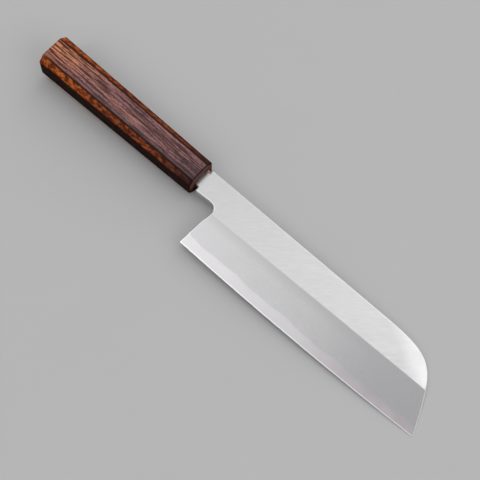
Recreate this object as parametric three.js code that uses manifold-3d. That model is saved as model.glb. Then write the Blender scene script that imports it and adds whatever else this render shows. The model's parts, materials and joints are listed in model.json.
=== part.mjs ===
// Single-bevel vegetable knife with a sickle-shaped tip and an octagonal wooden handle.
//
// The blade is a soft-iron body with a layer of hard steel forge-welded to its back. The iron
// runs on into a tang, which is bedded in a bore in the handle and tightened by a softwood wedge.
//
// Lengths are in millimetres. The knife is drawn along its own axes: +X runs to the tip, +Y to the
// spine and +Z out of the bevelled face, with X = 0 at the shoulders where the neck steps down to
// the tang and Y = Z = 0 on the axis of the handle. It is then laid down the way it rests on a
// table, on the lower front edge of the handle and on the tip, with the origin under its middle.

import * as THREE from 'three';
import { mergeVertices } from 'three/addons/utils/BufferGeometryUtils.js';
import Module from 'manifold-3d';

// Blade outline
const shoulderToTip = 195;
const shoulderToHeel = 15;
const shoulderSkew = 0.7;
const spineAboveAxis = 8.3;
const neckBelowAxis = 8.4;
const heelBelowAxis = 38.7;
const tipBelowAxis = 36.2;
const edgeBelly = 1.5;
const heelLean = THREE.MathUtils.degToRad(4.2);
const shoulderToChoil = 10.4;
const neckTaper = 0.6;
const choilEndBelowAxis = 20.1;
const choilPullAtNeck = 11.2;
const choilPullAtHeel = 0.6;
const tipCurveLength = 55.6;
const tipCurvePullAtSpine = 38.7;
const tipCurvePullAtTip = 41.7;
const tipAngle = THREE.MathUtils.degToRad(67);

// Blade section
const spineThicknessAtNeck = 3.6;
const spineThicknessAtTip = 2.4;
const bevelLineBelowAxisAtHeel = 13.2;
const bevelLineBelowAxisAtTip = 10.2;
const edgeLand = 0.15;

// Hard steel and the hollow ground into the back
const edgeSteelThicknessAtHeel = 1.1;
const edgeSteelThicknessAtTip = 0.6;
const edgeSteelFromShoulder = 9;
const weldLine = 0.05;
const hollowDepth = 0.3;
const hollowInsetAtEdge = 1.5;
const hollowInsetAtSpine = 2.5;
const hollowInsetAtHeel = 4;
const hollowInsetAtTip = 4;

// Tang
const shoulderAtSpine = 2.4;
const shoulderAtEdge = 3;
const tangThinning = 0.4;
const tangTailHeight = 6;
const tangTailThickness = 2.2;
const tangTailToBoreEnd = 10.8;

// Handle
const handleLength = 127.5;
const shoulderToHandle = 2.8;
const frontWidth = 21.1;
const frontThickness = 17.8;
const frontFacet = 3.5;
const buttWidth = 24.3;
const buttThickness = 22.2;
const buttFacet = 4.3;
const frontChamfer = 0.8;
const buttRounding = 1.4;
const boreDiameter = 9;
const boreEndToButt = 21.5;

// Wedge and bedding
const wedgeLength = 17.4;
const wedgeProud = 1.4;
const wedgeHeightAtHead = 0.9;
const wedgeHeightAtToe = 0.5;
const beddingRecess = 0.4;
const fitClearance = 0.3;

// Fineness of the curved faces
const bladeStations = 30;
const curveSteps = 20;
const hollowStepsAlong = 28;
const hollowStepsAcross = 10;
const boreSides = 32;
const roundingSteps = 3;

// How far a cutting solid runs past the face that it cuts
const overrun = 2;

const wasm = await Module();
wasm.setup();

// A closed geometry as a solid that can be cut and joined
function toSolid(geometry) {
  geometry.deleteAttribute('normal');
  geometry.deleteAttribute('uv');
  const merged = mergeVertices(geometry);
  return new wasm.Manifold(new wasm.Mesh({
    numProp: 3,
    vertProperties: new Float32Array(merged.attributes.position.array),
    triVerts: new Uint32Array(merged.index.array),
  }));
}

// A finished solid as a geometry with flat faces
function toGeometry(solid) {
  const mesh = solid.getMesh();
  const geometry = new THREE.BufferGeometry();
  geometry.setAttribute('position', new THREE.BufferAttribute(mesh.vertProperties, 3));
  geometry.setIndex(new THREE.BufferAttribute(mesh.triVerts, 1));
  const flat = geometry.toNonIndexed();
  flat.computeVertexNormals();
  return flat;
}

// Rings of [x, y, z] corners, listed from low X to high X and each turning from +Y to +Z
function loft(rings) {
  const count = rings[0].length;
  const index = [];
  for (let ring = 0; ring < rings.length - 1; ring += 1) {
    for (let corner = 0; corner < count; corner += 1) {
      const here = ring * count + corner;
      const beside = ring * count + ((corner + 1) % count);
      index.push(here, beside, beside + count);
      index.push(here, beside + count, here + count);
    }
  }
  const last = (rings.length - 1) * count;
  for (let corner = 1; corner < count - 1; corner += 1) {
    index.push(0, corner + 1, corner);
    index.push(last, last + corner, last + corner + 1);
  }
  const geometry = new THREE.BufferGeometry();
  geometry.setAttribute('position', new THREE.Float32BufferAttribute(rings.flat(2), 3));
  geometry.setIndex(index);
  return toSolid(geometry);
}

function mix(from, to, share) {
  return from + (to - from) * share;
}

// Heights of the blade's lines at a place along X
const heel = new THREE.Vector2(shoulderToHeel, -heelBelowAxis);
const tip = new THREE.Vector2(shoulderToTip, -tipBelowAxis);
const backPlane = -spineThicknessAtNeck / 2;

function shareOfEdge(x) {
  return (x - heel.x) / (tip.x - heel.x);
}

function edgeAt(x) {
  const share = shareOfEdge(x);
  return mix(heel.y, tip.y, share) - 4 * edgeBelly * share * (1 - share);
}

// Place along X of the heel line at a height, which leans back towards the edge
function heelLineAt(y) {
  return heel.x + Math.tan(heelLean) * (y - heel.y);
}

function bevelLineAt(x) {
  return -mix(bevelLineBelowAxisAtHeel, bevelLineBelowAxisAtTip, shareOfEdge(x));
}

function flatFaceAt(x) {
  return backPlane + mix(spineThicknessAtNeck, spineThicknessAtTip, x / shoulderToTip);
}

// Plan of the neck and the blade
function bladeOutline() {
  const neckCorner = new THREE.Vector2(shoulderSkew / 2, -neckBelowAxis);
  const choilStart = new THREE.Vector2(shoulderToChoil, neckTaper - neckBelowAxis);
  const choilEnd = new THREE.Vector2(heelLineAt(-choilEndBelowAxis), -choilEndBelowAxis);
  const neckPull = choilStart.clone().sub(neckCorner).setLength(choilPullAtNeck).add(choilStart);
  const heelPull = choilEnd.clone().sub(heel).setLength(choilPullAtHeel).add(choilEnd);
  const edgeMiddle = heel.clone().add(tip).multiplyScalar(0.5);
  const spineEnd = new THREE.Vector2(tip.x - tipCurveLength, spineAboveAxis);
  const tipDirection = new THREE.Vector2(-Math.cos(tipAngle), Math.sin(tipAngle));
  const tipPull = tipDirection.multiplyScalar(tipCurvePullAtTip).add(tip);

  const outline = new THREE.Shape();
  outline.moveTo(-shoulderSkew / 2, spineAboveAxis);
  outline.lineTo(neckCorner.x, neckCorner.y);
  outline.lineTo(choilStart.x, choilStart.y);
  outline.bezierCurveTo(neckPull.x, neckPull.y, heelPull.x, heelPull.y, choilEnd.x, choilEnd.y);
  outline.lineTo(heel.x, heel.y);
  outline.quadraticCurveTo(edgeMiddle.x, edgeMiddle.y - 2 * edgeBelly, tip.x, tip.y);
  outline.bezierCurveTo(
    tipPull.x, tipPull.y,
    spineEnd.x + tipCurvePullAtSpine, spineEnd.y,
    spineEnd.x, spineEnd.y,
  );
  outline.closePath();
  return outline;
}

// Both steels together: the ground section along X, trimmed to the plan
function wholeBlade() {
  const rings = [];
  for (let station = 0; station <= bladeStations; station += 1) {
    const x = mix(-shoulderSkew - overrun, tip.x + overrun, station / bladeStations);
    const flatFace = flatFaceAt(x);
    const bevelSlope = (flatFace - backPlane - edgeLand) / (bevelLineAt(x) - edgeAt(x));
    const sharpEdge = edgeAt(x) - edgeLand / bevelSlope;
    rings.push([
      [x, spineAboveAxis + overrun, backPlane],
      [x, spineAboveAxis + overrun, flatFace],
      [x, bevelLineAt(x), flatFace],
      [x, sharpEdge, backPlane],
    ]);
  }
  const depth = 2 * (spineThicknessAtNeck + spineThicknessAtTip);
  const extrusion = { depth, bevelEnabled: false, curveSegments: curveSteps };
  const plan = new THREE.ExtrudeGeometry(bladeOutline(), extrusion);
  plan.translate(0, 0, -depth / 2);
  return loft(rings).intersect(toSolid(plan));
}

function weldHeightAt(x) {
  return backPlane + mix(edgeSteelThicknessAtHeel, edgeSteelThicknessAtTip, shareOfEdge(x));
}

// The part of the blade's box in front of a place along X and up to a rise above the weld
function backLayer(fromX, rise) {
  const lowY = -heelBelowAxis - edgeBelly - overrun;
  const highY = spineAboveAxis + overrun;
  const lowZ = backPlane - overrun;
  const rings = [fromX, tip.x + overrun].map((x) => {
    const highZ = weldHeightAt(x) + rise;
    return [[x, highY, lowZ], [x, highY, highZ], [x, lowY, highZ], [x, lowY, lowZ]];
  });
  return loft(rings);
}

// Shallow dish that is deepest along its middle and runs out before the heel, tip, edge and spine
function backHollow() {
  const rings = [];
  const reach = 1.05;
  const endSharpness = 8;
  const floor = backPlane - overrun;
  for (let along = 0; along <= hollowStepsAlong; along += 1) {
    const u = mix(-reach, reach, along / hollowStepsAlong);
    const upper = [];
    for (let across = 0; across <= hollowStepsAcross; across += 1) {
      const v = mix(reach, -reach, across / hollowStepsAcross);
      const yMiddleOfBlade = mix(edgeAt(tip.x / 2), spineAboveAxis, (v + 1) / 2);
      const heelSide = heelLineAt(yMiddleOfBlade) + hollowInsetAtHeel;
      const tipSide = tip.x - (yMiddleOfBlade - tip.y) / Math.tan(tipAngle) - hollowInsetAtTip;
      const x = mix(heelSide, tipSide, (u + 1) / 2);
      const y = mix(edgeAt(x) + hollowInsetAtEdge, spineAboveAxis - hollowInsetAtSpine, (v + 1) / 2);
      upper.push([x, y, backPlane + hollowDepth * (1 - v ** 2 - u ** endSharpness)]);
    }
    const lower = upper.map(([x, y]) => [x, y, floor]).reverse();
    rings.push([...upper, ...lower]);
  }
  return loft(rings);
}

// Tapered bar along X with flat sides, grown on every side by a clearance
function bar({ fromX, toX, bottom, top, halfThickness, grow = 0 }) {
  const rings = [fromX - grow, toX + grow].map((x) => {
    const side = halfThickness(x) + grow;
    const high = top(x) + grow;
    const low = bottom(x) - grow;
    return [[x, high, -side], [x, high, side], [x, low, side], [x, low, -side]];
  });
  return loft(rings);
}

// Places along X of the handle's ends, the end of its bore and the tail of the tang
const handleFront = -shoulderToHandle;
const handleButt = handleFront - handleLength;
const boreEnd = handleButt + boreEndToButt;
const tangTail = boreEnd + tangTailToBoreEnd;

// Tang, from its tail in the handle to its root inside the skewed shoulders
function tangTop(x) {
  return mix(spineAboveAxis - shoulderAtSpine, tangTailHeight / 2, x / tangTail);
}

function tangBottom(x) {
  return -mix(neckBelowAxis - shoulderAtEdge, tangTailHeight / 2, x / tangTail);
}

function tangHalfThickness(x) {
  return mix(spineThicknessAtNeck - tangThinning, tangTailThickness, x / tangTail) / 2;
}

function tang(grow) {
  const ends = { fromX: tangTail, toX: shoulderSkew };
  return bar({ ...ends, bottom: tangBottom, top: tangTop, halfThickness: tangHalfThickness, grow });
}

// Wedge, driven in on the spine side of the tang, with its head a little proud of the handle
const wedgeHead = handleFront + wedgeProud;
const wedgeToe = wedgeHead - wedgeLength;

function wedgeBottom(x) {
  return tangTop(x) + fitClearance;
}

function wedgeTop(x) {
  const share = (wedgeHead - x) / wedgeLength;
  return wedgeBottom(x) + mix(wedgeHeightAtHead, wedgeHeightAtToe, share);
}

function wedge(grow) {
  const ends = { fromX: wedgeToe, toX: wedgeHead };
  return bar({ ...ends, bottom: wedgeBottom, top: wedgeTop, halfThickness: tangHalfThickness, grow });
}

// Handle: a tapered octagon with a chamfered front and a rounded butt
function shareOfHandle(x) {
  return (handleFront - x) / handleLength;
}

function handleHalfThickness(x) {
  return mix(frontThickness, buttThickness, shareOfHandle(x)) / 2;
}

function octagon(x, inset) {
  const share = shareOfHandle(x);
  const halfWidth = mix(frontWidth, buttWidth, share) / 2 - inset;
  const halfThickness = handleHalfThickness(x) - inset;
  const facet = mix(frontFacet, buttFacet, share) - inset * (2 - Math.SQRT2);
  const flatY = halfWidth - facet;
  const flatZ = halfThickness - facet;
  return [
    [x, halfWidth, -flatZ],
    [x, halfWidth, flatZ],
    [x, flatY, halfThickness],
    [x, -flatY, halfThickness],
    [x, -halfWidth, flatZ],
    [x, -halfWidth, -flatZ],
    [x, -flatY, -halfThickness],
    [x, flatY, -halfThickness],
  ];
}

function handleBlock() {
  const rings = [];
  for (let step = 0; step <= roundingSteps; step += 1) {
    const turn = (Math.PI / 2) * (step / roundingSteps);
    const x = handleButt + buttRounding * (1 - Math.sin(turn));
    rings.unshift(octagon(x, buttRounding * (1 - Math.cos(turn))));
  }
  rings.push(octagon(handleFront - frontChamfer, 0));
  rings.push(octagon(handleFront, frontChamfer));
  return loft(rings);
}

// Round bar along the handle's axis
function round(radius, fromX, toX) {
  const geometry = new THREE.CylinderGeometry(radius, radius, toX - fromX, boreSides);
  geometry.rotateZ(-Math.PI / 2);
  geometry.translate((fromX + toX) / 2, 0, 0);
  return toSolid(geometry);
}

const tangRoom = tang(fitClearance).add(wedge(fitClearance));

function bladeBody() {
  const steelRoom = backLayer(edgeSteelFromShoulder - weldLine, weldLine);
  return wholeBlade().subtract(steelRoom).add(tang(0));
}

function edgeSteel() {
  const layer = backLayer(edgeSteelFromShoulder, 0);
  return wholeBlade().intersect(layer).subtract(backHollow());
}

function handle() {
  const bore = round(boreDiameter / 2, boreEnd, handleFront + overrun);
  return handleBlock().subtract(bore).subtract(tangRoom);
}

function tangBedding() {
  const plug = round(boreDiameter / 2 - fitClearance, boreEnd + fitClearance, handleFront - beddingRecess);
  return plug.subtract(tangRoom);
}

// The knife along its own axes
function piece(name, solid, finish) {
  const mesh = new THREE.Mesh(toGeometry(solid), new THREE.MeshStandardMaterial(finish));
  mesh.name = name;
  return mesh;
}

const knife = new THREE.Group();
knife.add(piece('blade_body', bladeBody(), { color: 0xb4b5b7, roughness: 0.38, metalness: 1 }));
knife.add(piece('edge_steel', edgeSteel(), { color: 0xd3ced0, roughness: 0.28, metalness: 1 }));
knife.add(piece('handle', handle(), { color: 0x6b3d2a, roughness: 0.35, metalness: 0 }));
knife.add(piece('tang_wedge', wedge(0), { color: 0xd9bd92, roughness: 0.7, metalness: 0 }));
knife.add(piece('tang_bedding', tangBedding(), { color: 0x4b3325, roughness: 0.6, metalness: 0 }));

// Nose down until the lower front edge of the handle and the back of the tip reach one level
const pivotX = handleFront - frontChamfer;
knife.rotation.y = Math.atan2(backPlane + handleHalfThickness(pivotX), tip.x - pivotX);

const part = new THREE.Group();
part.add(knife);
part.updateMatrixWorld(true);
const box = new THREE.Box3().setFromObject(part, true);
knife.position.set(-(box.min.x + box.max.x) / 2, -(box.min.y + box.max.y) / 2, -box.min.z);

export default part;
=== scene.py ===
# %% [markdown]
# # A sickle-tipped vegetable knife with a lacquered octagonal handle
#
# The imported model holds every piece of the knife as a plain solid, in the place where it belongs.
# This lesson dresses those solids: each one gets a finer mesh on the same sizes and a finish made
# of nodes. Loading the frame comes first, because everything after it is built around the frame.

# %% Load the frame
import json
import math
import bmesh
import bpy
import numpy as np
from mathutils import Matrix, Vector


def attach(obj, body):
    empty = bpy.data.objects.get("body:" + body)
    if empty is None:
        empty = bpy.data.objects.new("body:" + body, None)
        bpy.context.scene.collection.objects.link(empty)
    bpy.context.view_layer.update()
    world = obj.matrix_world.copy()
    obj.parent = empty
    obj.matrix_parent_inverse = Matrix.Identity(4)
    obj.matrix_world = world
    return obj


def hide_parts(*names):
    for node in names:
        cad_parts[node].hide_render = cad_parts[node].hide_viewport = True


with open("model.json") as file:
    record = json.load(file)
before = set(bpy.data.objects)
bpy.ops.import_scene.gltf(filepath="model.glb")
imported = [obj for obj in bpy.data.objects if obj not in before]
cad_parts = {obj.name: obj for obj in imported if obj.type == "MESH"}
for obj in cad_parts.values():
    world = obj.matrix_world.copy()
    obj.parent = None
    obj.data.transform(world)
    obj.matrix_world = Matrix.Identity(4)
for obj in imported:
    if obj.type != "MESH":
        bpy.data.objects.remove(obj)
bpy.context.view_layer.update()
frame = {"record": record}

# %% [markdown]
# ## The knife's own axes
#
# The knife lies nose down, on the front of its handle and on its tip, so its long axis is a little
# off level. Every mesh below is drawn along the knife's own axes, with +X to the tip, +Y to the
# spine and +Z out of the bevelled face, and takes one shared matrix to its place. That keeps the
# formulas short, and object coordinates then run along the grain and along the blade, which the
# finishes use. The matrix comes from the mount on the handle's butt, so nothing is fitted by eye.

# %% Axes from the mount on the butt
MM = 0.001
HANDLE_LENGTH = 127.5 * MM
SHOULDER_TO_HANDLE = 2.8 * MM
HANDLE_FRONT = -SHOULDER_TO_HANDLE
HANDLE_BUTT = HANDLE_FRONT - HANDLE_LENGTH

butt_mount = next(m for m in frame["record"]["mounts"] if m["name"] == "handle_butt")
along = -Vector(butt_mount["axis"]).normalized()
across = Vector((0, 1, 0))
upward = along.cross(across)
knife_axes = Matrix((along, across, upward)).transposed().to_4x4()
knife_axes.translation = Vector(butt_mount["pos_m"]) - along * HANDLE_BUTT
print("nose down by", round(math.degrees(math.asin(-along.z)), 3), "degrees")

# %% [markdown]
# ## Camera
#
# The view is from above and from the edge side, 21 degrees off plumb, through a long lens that
# keeps the lines of the blade nearly parallel. It could be set by eye, but a place that is solved
# from the knife's own corners puts every line of the picture where it belongs.

# %% Camera
LENS = 90
VIEW_FROM = Vector((0.18277, -0.19440, 0.68515))
VIEW_AT = Vector((0.00754, 0.00186, 0))

camera_data = bpy.data.cameras.new("camera")
camera_data.lens = LENS
camera = bpy.data.objects.new("camera", camera_data)
camera.location = VIEW_FROM
camera.rotation_euler = (VIEW_AT - VIEW_FROM).to_track_quat("-Z", "Y").to_euler()
bpy.context.scene.collection.objects.link(camera)
bpy.context.scene.camera = camera
print("camera distance in metres:", round((VIEW_AT - VIEW_FROM).length, 4))

# %% [markdown]
# ## Plan of the blade
#
# Seen from above, the blade is an outline of straight lines and three curves: the rounded notch
# behind the heel, the slightly bellied edge, and the curve that drops from the spine to the tip.
# It could be one extruded curve, but the bevel has to meet the outline exactly, so the outline is
# kept as rails of points. Rows and columns of a grid are later strung between these rails.

# %% Sizes of the blade's plan
SHOULDER_SKEW = 0.7 * MM
SPINE_Y = 8.3 * MM
NECK_Y = -8.4 * MM
HEEL = np.array((15, -38.7)) * MM
TIP = np.array((195, -36.2)) * MM
EDGE_BELLY = 1.5 * MM
HEEL_LEAN = math.radians(4.2)
CHOIL_START = np.array((10.4, -7.8)) * MM
CHOIL_END_Y = -20.1 * MM
CHOIL_PULL_AT_NECK = 11.2 * MM
CHOIL_PULL_AT_HEEL = 0.6 * MM
TIP_CURVE_LENGTH = 55.6 * MM
TIP_PULL_AT_SPINE = 38.7 * MM
TIP_PULL_AT_TIP = 41.7 * MM
TIP_ANGLE = math.radians(67)
RIDGE_Y_AT_HEEL = -13.2 * MM
RIDGE_Y_AT_TIP = -10.2 * MM
STEP_AT_SPINE = 2.4 * MM
STEP_AT_EDGE = 3 * MM


def mix(start, end, share):
    """The value that lies a share of the way from start to end."""
    return start + (end - start) * share


def edge_share(x):
    return (x - HEEL[0]) / (TIP[0] - HEEL[0])


def edge_y(x):
    share = edge_share(x)
    return mix(HEEL[1], TIP[1], share) - 4 * EDGE_BELLY * share * (1 - share)


def ridge_y(x):
    """The line where the flat of the blade turns into the bevel."""
    return mix(RIDGE_Y_AT_HEEL, RIDGE_Y_AT_TIP, edge_share(x))


def heel_x(y):
    return HEEL[0] + math.tan(HEEL_LEAN) * (y - HEEL[1])


print("edge", round(np.linalg.norm(TIP - HEEL) / MM, 1), "mm from heel to tip")

# %% Rails round the blade
CURVE_POINTS = 121


def cubic(start, first_pull, second_pull, end):
    """Points along a curve with two pulls, as a drawing program makes it."""
    t = np.linspace(0, 1, CURVE_POINTS)[:, None]
    bends = 3 * t * (1 - t) ** 2 * first_pull + 3 * t ** 2 * (1 - t) * second_pull
    return (1 - t) ** 3 * start + bends + t ** 3 * end


def unit(vector):
    return vector / np.linalg.norm(vector)


def split_at_ridge(curve):
    """The part of a curve above the ridge and the part below it, sharing the crossing point."""
    above = curve[:, 1] - ridge_y(curve[:, 0])
    last = np.flatnonzero(above > 0)[-1]
    share = above[last] / (above[last] - above[last + 1])
    crossing = mix(curve[last], curve[last + 1], share)
    return np.vstack([curve[:last + 1], crossing]), np.vstack([crossing, curve[last + 1:]])


shoulder_top = np.array((-SHOULDER_SKEW / 2, SPINE_Y))
neck_corner = np.array((SHOULDER_SKEW / 2, NECK_Y))
under_tang = mix(neck_corner, shoulder_top, STEP_AT_EDGE / (SPINE_Y - NECK_Y))
over_tang = mix(shoulder_top, neck_corner, STEP_AT_SPINE / (SPINE_Y - NECK_Y))
choil_end = np.array((heel_x(CHOIL_END_Y), CHOIL_END_Y))
choil = cubic(
    CHOIL_START,
    CHOIL_START + CHOIL_PULL_AT_NECK * unit(CHOIL_START - neck_corner),
    choil_end + CHOIL_PULL_AT_HEEL * unit(choil_end - HEEL),
    choil_end,
)
spine_end = np.array((TIP[0] - TIP_CURVE_LENGTH, SPINE_Y))
tip_curve = cubic(
    spine_end,
    spine_end + np.array((TIP_PULL_AT_SPINE, 0)),
    TIP + TIP_PULL_AT_TIP * np.array((-math.cos(TIP_ANGLE), math.sin(TIP_ANGLE))),
    TIP,
)
choil_above, choil_below = split_at_ridge(choil)
tip_above, tip_below = split_at_ridge(tip_curve)
ridge_start = choil_above[-1]
ridge_end = tip_above[-1]
edge_x = np.linspace(HEEL[0], TIP[0], 2 * CURVE_POINTS)

neck_rail = np.vstack([neck_corner, choil_above, ridge_end])
spine_rail = np.vstack([shoulder_top, tip_above])
bevel_rail = np.vstack([ridge_start, tip_below])
edge_rail = np.stack([edge_x, edge_y(edge_x)], axis=1)
heel_rail = np.vstack([HEEL, choil_below[::-1]])
print("ridge runs from", ridge_start / MM, "to", ridge_end / MM, "mm")

# %% [markdown]
# ## Section of the blade
#
# The blade is ground on one face only. From the spine to the ridge it is flat and thins towards
# the tip, and from the ridge the bevel falls straight to the edge. A thin layer of hard steel is
# forge-welded to the back of a soft iron body, so the bevel cuts through both and shows the weld
# as a gently waving line. The outer edges are eased by hand. A bevel modifier could round them,
# but it would also round the ridge, so the easing is a drop that grows towards the outline.

# %% Heights of the blade's faces
SPINE_THICKNESS_AT_NECK = 3.6 * MM
SPINE_THICKNESS_AT_TIP = 2.4 * MM
EDGE_LAND = 0.15 * MM
STEEL_AT_HEEL = 1.1 * MM
STEEL_AT_TIP = 0.6 * MM
STEEL_FROM_SHOULDER = 9 * MM
WELD_LINE = 0.05 * MM
EASED_RADIUS = 0.3 * MM
BACK_Z = -SPINE_THICKNESS_AT_NECK / 2

# Height, length and phase of each wave in the weld
WELD_WAVES = (
    (0.055 * MM, 43 * MM, 0.4),
    (0.035 * MM, 19 * MM, 2.1),
    (0.012 * MM, 8 * MM, 1.0),
)


def flat_z(x):
    return BACK_Z + mix(SPINE_THICKNESS_AT_NECK, SPINE_THICKNESS_AT_TIP, x / TIP[0])


def face_z(x, y):
    """The ground face before its outer edges are eased."""
    share = (y - edge_y(x)) / (ridge_y(x) - edge_y(x))
    return np.minimum(flat_z(x), mix(BACK_Z + EDGE_LAND, flat_z(x), share))


def weld_z(x):
    waves = sum(height * np.sin(2 * math.pi * x / length + phase) for height, length, phase in WELD_WAVES)
    return BACK_Z + mix(STEEL_AT_HEEL, STEEL_AT_TIP, edge_share(x)) + waves


print("spine", round((flat_z(0.0) - BACK_Z) / MM, 2), "mm thick at the neck")

# %% Distance from the outline and the eased face
# The most that the easing may take of the thickness, and of the height above or below the weld
EASED_OF_THICKNESS = 0.35
EASED_OF_WELD_HEIGHT = 0.9
SMALLEST_SQUARE = 1e-18

lower_rim = np.vstack([HEEL, choil[::-1], neck_corner, under_tang])
upper_rim = np.vstack([over_tang, shoulder_top, tip_curve])


def distance_to(lines, x, y):
    """Shortest distance from each point to any of the lines of straight steps."""
    starts = np.vstack([line[:-1] for line in lines])
    steps = np.vstack([np.diff(line, axis=0) for line in lines])
    points = np.stack([x, y], axis=-1)[:, None, :]
    squares = np.maximum((steps ** 2).sum(axis=-1), SMALLEST_SQUARE)
    shares = ((points - starts) * steps).sum(axis=-1) / squares
    nearest = starts + np.clip(shares, 0, 1)[..., None] * steps
    return np.linalg.norm(points - nearest, axis=-1).min(axis=1)


def eased_z(x, y):
    """The ground face with its rim rounded, less where the blade is thin and not at the weld."""
    face = face_z(x, y)
    thin = EASED_OF_THICKNESS * (face - BACK_Z)
    from_weld = EASED_OF_WELD_HEIGHT * np.abs(face - weld_z(x))
    radius = np.minimum(EASED_RADIUS, np.minimum(thin, from_weld))
    inside = radius - np.minimum(distance_to((lower_rim, upper_rim), x, y), radius)
    return face - radius + np.sqrt(np.maximum(radius ** 2 - inside ** 2, 0))


print("outline of", len(lower_rim) + len(upper_rim), "points")

# %% [markdown]
# ## Grid over the blade
#
# Two grids cover the plan: one on the flat, between the neck and ridge below and the spine above,
# and one on the bevel, between the edge and the ridge. They share their points along the ridge.
# Columns and rows crowd together near the rim, where the easing bends, and stay wide elsewhere.
# A remesh would give even faces, but it would lose the crisp ridge and the exact weld line.

# %% Columns of the two grids
CLOSE_STEPS = EASED_RADIUS * np.array((0, 0.06, 0.2, 0.4, 0.68, 1, 1.3, 1.9))
POINTS_BEFORE_STEEL = 7
POINTS_BEFORE_RIDGE = 16
POINTS_ALONG_RIDGE = 74
POINTS_BELOW_RIDGE = 26


def lengths(line):
    """How far along a line each of its points is."""
    return np.concatenate([[0], np.cumsum(np.linalg.norm(np.diff(line, axis=0), axis=1))])


def point_at(line, distance):
    reach = lengths(line)
    return np.stack([np.interp(distance, reach, line[:, axis]) for axis in (0, 1)], axis=-1)


def length_at_x(line, x):
    """How far along a line it first reaches a place along X."""
    after = np.flatnonzero(line[:, 0] >= x)[0]
    share = (x - line[after - 1, 0]) / (line[after, 0] - line[after - 1, 0])
    return mix(lengths(line)[after - 1], lengths(line)[after], share)


ridge_from = lengths(neck_rail)[-2]
neck_total = lengths(neck_rail)[-1]
steel_marks = [length_at_x(neck_rail, x) for x in (STEEL_FROM_SHOULDER - WELD_LINE, STEEL_FROM_SHOULDER)]
ridge_length = neck_total - ridge_from
ridge_columns = np.concatenate([
    CLOSE_STEPS,
    np.linspace(CLOSE_STEPS[-1], ridge_length - CLOSE_STEPS[-1], POINTS_ALONG_RIDGE)[1:-1],
    ridge_length - CLOSE_STEPS[::-1],
])
neck_columns = np.concatenate([
    CLOSE_STEPS,
    np.linspace(CLOSE_STEPS[-1], steel_marks[0], POINTS_BEFORE_STEEL)[1:],
    np.linspace(steel_marks[1], ridge_from, POINTS_BEFORE_RIDGE)[:-1],
])
flat_columns = np.concatenate([neck_columns, ridge_from + ridge_columns])
below_tip = np.linspace(ridge_length + CLOSE_STEPS[-1], lengths(bevel_rail)[-1], POINTS_BELOW_RIDGE)[1:]
bevel_columns = np.concatenate([ridge_columns, ridge_length + CLOSE_STEPS[1:], below_tip])
print(len(flat_columns), "columns on the flat and", len(bevel_columns), "on the bevel")

# %% Rows of the two grids
FLAT_ROWS = 12
SMALLEST_LENGTH = 1e-9

# How far the column from the ridge's start leans towards the tip on its way to the spine
SPINE_LEAD = 1 * MM

# Length at the heel where the columns keep the same steps on the edge as on the ridge
HEEL_CORNER = 2 * MM

# Length of bevel over which the columns bend like the curve behind the heel
SWAY = 30 * MM


def crowded(length, middle_rows, low_end=True):
    """Shares along rows of each length, crowded at the far end and, if asked, at the near end."""
    length = np.maximum(length, SMALLEST_LENGTH)[:, None]
    count = len(CLOSE_STEPS)
    total = (2 if low_end else 1) * count + middle_rows - 1
    even = np.arange(total + 1) / total
    high = 1 - np.minimum(CLOSE_STEPS / length, even[:count])[:, ::-1]
    if low_end:
        low = np.minimum(CLOSE_STEPS / length, even[:count])
    else:
        low = np.zeros_like(length)
    middle = mix(low[:, -1:], high[:, :1], np.linspace(0, 1, middle_rows + 1)[1:-1])
    return np.hstack([low, middle, high])


spine_keys = [
    0,
    length_at_x(spine_rail, STEEL_FROM_SHOULDER - WELD_LINE),
    length_at_x(spine_rail, STEEL_FROM_SHOULDER),
    length_at_x(spine_rail, ridge_start[0] + SPINE_LEAD),
    lengths(spine_rail)[-1],
]
neck_keys = [0, *steel_marks, ridge_from, neck_total]
flat_low = point_at(neck_rail, flat_columns)
flat_high = point_at(spine_rail, np.interp(flat_columns, neck_keys, spine_keys))
flat_rows = crowded(np.linalg.norm(flat_high - flat_low, axis=1), FLAT_ROWS)
flat_grid = mix(flat_low[:, None], flat_high[:, None], flat_rows[..., None])

bevel_high = point_at(bevel_rail, bevel_columns)
edge_keys = [[0, HEEL_CORNER, lengths(rail)[-1]] for rail in (bevel_rail, edge_rail)]
bevel_low = point_at(edge_rail, np.interp(bevel_columns, *edge_keys))
sway = np.clip(1 - bevel_columns / SWAY, 0, 1) ** 2


def bevel_points(shares):
    """Points at these shares up each column; the first columns follow the curve behind the heel."""
    straight = mix(bevel_low[:, None], bevel_high[:, None], shares[..., None])
    chord = mix(HEEL, ridge_start, shares[..., None])
    curved = point_at(heel_rail, shares * lengths(heel_rail)[-1])
    return straight + sway[:, None, None] * (curved - chord)


print("flat grid of", flat_grid.shape[0], "columns and", flat_grid.shape[1], "rows")

# %% Weld line on the bevel
HALVINGS = 40
BAND_ROWS = 9
BEVEL_ROWS = 14
ALL_STEEL = 1 - 1e-9

weld_low = np.zeros((len(bevel_columns), 1))
weld_high = np.ones((len(bevel_columns), 1))
for halving in range(HALVINGS):
    middle = (weld_low + weld_high) / 2
    places = bevel_points(middle)
    in_steel = face_z(places[..., 0], places[..., 1]) < weld_z(places[..., 0])
    weld_low = np.where(in_steel, middle, weld_low)
    weld_high = np.where(in_steel, weld_high, middle)
weld_share = np.where(weld_high > ALL_STEEL, 1, weld_high)
band_rows = weld_share * np.linspace(0, 1, BAND_ROWS)
column_lengths = np.linalg.norm(bevel_high - bevel_low, axis=1) * (1 - weld_share[:, 0])
above_rows = mix(weld_share, 1, crowded(column_lengths, BEVEL_ROWS, low_end=False))
band_grid = bevel_points(band_rows)
above_grid = bevel_points(above_rows)
band_width = np.linalg.norm(band_grid[:, -1] - band_grid[:, 0], axis=1)
print("steel band from", round(band_width.min() / MM, 1), "to", round(band_width.max() / MM, 1), "mm wide")

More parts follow.
